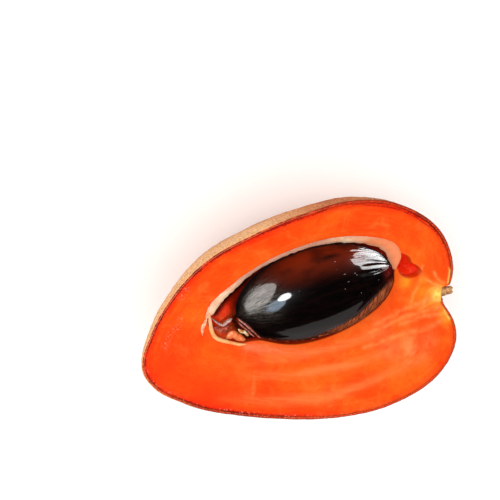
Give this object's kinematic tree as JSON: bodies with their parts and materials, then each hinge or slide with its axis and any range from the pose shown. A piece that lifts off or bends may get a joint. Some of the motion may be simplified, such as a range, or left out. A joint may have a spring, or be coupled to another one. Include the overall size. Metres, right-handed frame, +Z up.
{
  "type": "halved red-fleshed sapodilla (mamey sapote) with its seed",
  "caption": "Half of an heirloom red-fleshed sapodilla, cut lengthwise, resting on its rounded back with the glossy dark seed in its cavity.",
  "frame": {"origin": "middle of the small flat spot on the skin that the half rests on", "axes": "+X along the fruit from the pointed blossom end to the stem, +Y across the cut face towards the side that the seed lies nearer, +Z up, square to the level cut face"},
  "size_m": [0.1362, 0.0949, 0.0664],
  "materials": {
    "skin": "matte",
    "flesh": "satin",
    "seed": "gloss",
    "membrane": "satin",
    "stem": "matte"
  },
  "bodies": {
    "root": {"skin": "skin", "flesh": "flesh", "seed": "seed", "membrane": "membrane", "stem_stub": "stem"}
  },
  "joints": []
}
